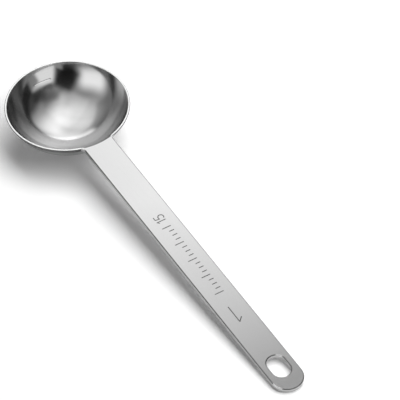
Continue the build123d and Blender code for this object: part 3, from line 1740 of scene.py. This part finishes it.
@dataclass(frozen=True)
class LowCard(Gauze):
    """Low pale card along the near side of the handle, which lights the handle's top as seen from behind.

    Attributes:
        name: Its name.
        strength: How much light it takes away where it is densest.
        glow: How bright it is there itself.
        span: Its first and last place along the handle, from the bowl's axis.
        side: Its distance from the handle's middle plane.
        height: Its height, from the handle's top up.
        core_share: Share of its size that is evenly dense, before its soft edges.
    """

    name: str = "low_card"
    strength: float = 1.0
    glow: float = 0.36
    span: tuple[float, float] = (90 * MM, 290 * MM)
    side: float = -45 * MM
    height: float = 34 * MM
    core_share: float = 0.6

    @property
    def size(self) -> Point2:
        """Length and height of the card."""
        return (self.span[1] - self.span[0], self.height)

    def density(self, x: Wire, y: Wire) -> Wire:
        """Density with soft edges all round."""
        sides, ends = ((size / 2 * self.core_share, size / 2) for size in self.size)
        return x.near_zero(*sides) * y.near_zero(*ends)

    def place(self) -> Matrix:
        """The card's upright place beside the handle."""
        middle = (sum(self.span) / 2, self.side, self.sizes.rim + self.height / 2)
        return Matrix.Translation(middle) @ Matrix.Rotation(math.pi / 2, 4, "X")


@dataclass(frozen=True)
class Studio:
    """Pale floor, one soft key lamp and the dome of soft panels that the metal mirrors.

    The panels' numbers and the dome's own level weren't chosen by hand. A separate program fitted them
    to the photograph's mirror images in the bowl and on the handle. They were rounded, and a few were
    changed.

    Attributes:
        sizes: The spoon's sizes.
        floor_side: Side of the square floor.
        floor_tone: The floor's own tone.
        floor_lift: How much paler the floor looks than the lamps alone make it.
        room_light: Light from all sides, beside the key lamp's.
        key_size: Width and height of the key lamp.
        key_power: Its power, in watts.
        key_way: Its direction from the spoon.
        key_distance: Its distance from the spoon.
        dome_radius: Radius of the dome, about the middle of the bowl's mouth.
        dome_splits: How often the dome's faces are split from a plain icosahedron's.
        dome_level: How bright the dome is between its panels.
        lit: The lit panels.
        dark: The dark panels in front of them.
    """

    sizes: SpoonSizes
    floor_side: float = 6.0
    floor_tone: float = 0.95
    floor_lift: float = 0.13
    room_light: float = 0.06
    key_size: tuple[float, float] = (2.2, 1.0)
    key_power: float = 24.0
    key_way: Point3 = (0.0, 0.42, 1.0)
    key_distance: float = 1.2
    dome_radius: float = 0.45
    dome_splits: int = 5
    dome_level: float = 0.08
    lit: tuple[Panel, ...] = (
        Panel(azimuth=161, elevation=62, width=69, height=82, feather=49, level=0.85, roll=-45),
        Panel(azimuth=150, elevation=18, width=37, height=41, feather=35, level=0.75, roll=-7),
        Panel(azimuth=156, elevation=26, width=54, height=13, feather=10, level=1.3, roll=8),
        Panel(azimuth=112, elevation=61, width=32, height=66, feather=21, level=0.34, roll=21),
        Panel(azimuth=72, elevation=58, width=80, height=39, feather=15, level=0.27, roll=-20),
        Panel(azimuth=330, elevation=84, width=54, height=58, feather=10, level=0.16, roll=-38),
        Panel(azimuth=170, elevation=62, width=18, height=56, feather=12, level=0.18, roll=49),
        Panel(azimuth=264, elevation=56, width=60, height=160, feather=50, level=0.25, roll=-52),
        Panel(azimuth=280, elevation=18, width=50, height=34, feather=25, level=1.16, roll=23),
        Panel(azimuth=16, elevation=3, width=51, height=51, feather=10, level=1.05, roll=-14),
    )
    dark: tuple[Panel, ...] = (
        Panel(azimuth=331, elevation=29, width=42, height=36, feather=14, level=0.12, roll=60),
        Panel(azimuth=80, elevation=6, width=107, height=37, feather=8, level=0.27, roll=4),
        Panel(azimuth=33, elevation=45, width=16, height=50, feather=12, level=0.5, roll=52),
        Panel(azimuth=202, elevation=17, width=71, height=47, feather=10, level=0.68, roll=7),
    )

    def make_floor(self) -> None:
        """Makes the floor, against the foot's edge and the tail's underside."""
        floor = flat_card("floor", (self.floor_side, self.floor_side), self.sizes.floor_place)
        material, sketch = start_material("pale_floor")
        path = sketch.node("ShaderNodeLightPath", {}, {})
        by_camera = Wire(sketch, path.outputs["Is Camera Ray"])
        seen = by_camera.larger(Wire(sketch, path.outputs["Is Glossy Ray"]))
        lift = sketch.blend(seen, grey(0.0), grey(self.floor_lift))
        sketch.surface(sketch.matt(self.floor_tone, lift))
        floor.data.materials.append(material)

    def make_key(self) -> None:
        """Makes the key lamp, a wide softbox above and behind the spoon."""
        data = bpy.data.lights.new("key_softbox", "AREA")
        data.shape = "RECTANGLE"
        data.size, data.size_y = self.key_size
        data.energy = self.key_power
        lamp = bpy.data.objects.new("key_softbox", data)
        bpy.context.scene.collection.objects.link(lamp)
        lamp.visible_glossy = False
        lamp.visible_camera = False
        toward = Vector(self.key_way).normalized()
        lamp.location = Vector((self.sizes.tail_end / 2, 0.0, 0.0)) + toward * self.key_distance
        lamp.rotation_mode = "QUATERNION"
        lamp.rotation_quaternion = toward.to_track_quat("Z", "Y")

    def make_dome(self) -> None:
        """Makes the dome of soft panels, which only the metal sees."""
        mesh = bmesh.new()
        bmesh.ops.create_icosphere(mesh, subdivisions=self.dome_splits, radius=self.dome_radius)
        dome = to_object(mesh, "mirror_dome")
        dome.location = (0.0, 0.0, self.sizes.rim)
        material, sketch = start_material("soft_panels")
        way = sketch.vector("NORMALIZE", sketch.add("ShaderNodeTexCoord", output="Object"))
        light: Wire | float = self.dome_level
        for panel in self.lit:
            light = light + panel.mask(sketch, way) * panel.level
        for panel in self.dark:
            light = light * (1 - panel.mask(sketch, way) * (1 - panel.level))
        glow = sketch.add("ShaderNodeCombineXYZ", {}, {0: light, 1: light, 2: light})
        sketch.surface(sketch.matt(0.0, glow))
        material.cycles.emission_sampling = "NONE"
        dome.data.materials.append(material)
        keep_for_metal(dome)

    def make_world(self) -> None:
        """Makes the room: white behind the scene, and a plain grey for everything else."""
        world = bpy.data.worlds.new("studio")
        bpy.context.scene.world = world
        world.use_nodes = True
        sketch = Sketch(world.node_tree)
        seen = sketch.add("ShaderNodeLightPath", output="Is Camera Ray")
        colour = sketch.blend(seen, grey(self.room_light), grey(1.0))
        sky = sketch.add("ShaderNodeBackground", {}, {"Color": colour, "Strength": 1.0})
        sketch.node("ShaderNodeOutputWorld", {}, {"Surface": sky})


def main() -> None:
    """Builds the camera, the pieces and the studio."""
    logging.basicConfig(level=logging.INFO, format="%(name)s: %(message)s")
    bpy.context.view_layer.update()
    sizes = SpoonSizes.from_frame()
    sections = Sections(sizes)
    PhotoCamera().make()
    bowl_satin = SatinSteel("bowl_satin", tone=0.6, worn_tone=0.59, grain=Grain.ROUND)
    # Darker copy of the steel for the bowl's outside: painted shade.
    outside = SatinSteel("bowl_outside", tone=0.44, worn_tone=0.42, roughness=0.16, grain=Grain.ROUND)
    handle_satin = SatinSteel("handle_satin", tone=0.73, worn_tone=0.72)
    # Darker copy of the steel for the rounded edges: painted shade.
    edge = SatinSteel("edge_steel", tone=0.16, worn_tone=0.14, roughness=0.15)
    # Darker copy of the steel for the handle's walls and underside: painted shade.
    wall = SatinSteel("sheared_wall", tone=0.52, worn_tone=0.48, roughness=0.2)
    # Bright, partly matt copy of the steel: painted highlight on the lip, the half-fill marks, the handle's
    # tail and slot, and the weld's fillets.
    lip = SatinSteel(
        "bright_lip", tone=0.82, worn_tone=0.78, roughness=0.25, metallic=0.7, grain=Grain.ROUND
    )
    etched = SatinSteel("etched_steel", tone=0.3, worn_tone=0.2, roughness=0.5, grain_height=0.004 * MM)
    makers = (
        BowlPiece(sections, bowl_satin, lip, edge, outside),
        HandlePiece(sections, handle_satin, etched, edge, wall, lip),
        WeldPiece(sections, SatinSteel("weld_satin"), lip),
    )
    for maker in makers:
        piece = maker.make()
        log.info("%s: %d faces", piece.name, len(piece.data.polygons))
    studio = Studio(sizes)
    studio.make_floor()
    studio.make_key()
    studio.make_dome()
    for card in (GradedFlag(sizes), FloorSkirt(sizes), LowCard(sizes)):
        card.make()
    studio.make_world()
    bpy.context.scene.view_settings.view_transform = "Standard"


if __name__ == "__main__":
    main()
